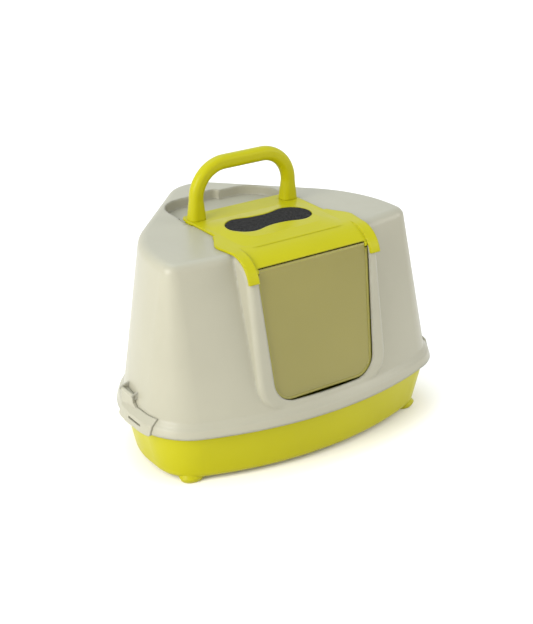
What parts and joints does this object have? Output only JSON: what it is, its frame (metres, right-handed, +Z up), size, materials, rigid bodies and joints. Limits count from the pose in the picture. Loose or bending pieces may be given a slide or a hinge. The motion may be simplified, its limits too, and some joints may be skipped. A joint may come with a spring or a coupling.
{
  "type": "hooded corner cat litter box",
  "caption": "Corner cat litter box with a lift-off hood, flip-up roof lid with carrying handle and filter window, swinging see-through door flap and side latches.",
  "frame": {"origin": "centre of the overall box, on the floor under the feet", "axes": "+X to the right seen from the door, -Y out of the door, +Y to the square rear corner, +Z up"},
  "size_m": [0.5308, 0.442, 0.424],
  "materials": {
    "yellow_plastic": "satin-gloss moulded plastic",
    "grey_plastic": "satin-gloss moulded plastic",
    "clear_flap": "tinted translucent plastic",
    "filter_foam": "charcoal filter fleece",
    "dark_plastic": "matt moulded plastic"
  },
  "bodies": {
    "tray": {"tray": "yellow_plastic"},
    "hood": {"hood": "grey_plastic"},
    "lid": {"lid": "yellow_plastic", "handle": "yellow_plastic", "filter_pad": "filter_foam", "filter_holder": "dark_plastic"},
    "flap": {"flap": "clear_flap"},
    "latch_left": {"latch_left": "grey_plastic"},
    "latch_right": {"latch_right": "grey_plastic"}
  },
  "joints": [
    {"name": "hood_lift", "type": "slide", "parent": "tray", "child": "hood", "axis": [0, 0, 1], "range_m": [0, 0.2]},
    {"name": "lid_flip", "type": "hinge", "parent": "hood", "child": "lid", "pos_m": [0, 0.0161, 0.324], "axis": [-1, 0, 0], "range_deg": [0, 90]},
    {"name": "flap_swing", "type": "hinge", "parent": "lid", "child": "flap", "pos_m": [0, -0.1602, 0.3085], "axis": [-1, 0, 0], "range_deg": [-55, 60]},
    {"name": "latch_left_swing", "type": "hinge", "parent": "hood", "child": "latch_left", "pos_m": [-0.253, -0.0565, 0.1215], "axis": [0, 1, 0], "range_deg": [0, 60]},
    {"name": "latch_right_swing", "type": "hinge", "parent": "hood", "child": "latch_right", "pos_m": [0.253, -0.0565, 0.1215], "axis": [0, -1, 0], "range_deg": [0, 60]}
  ]
}
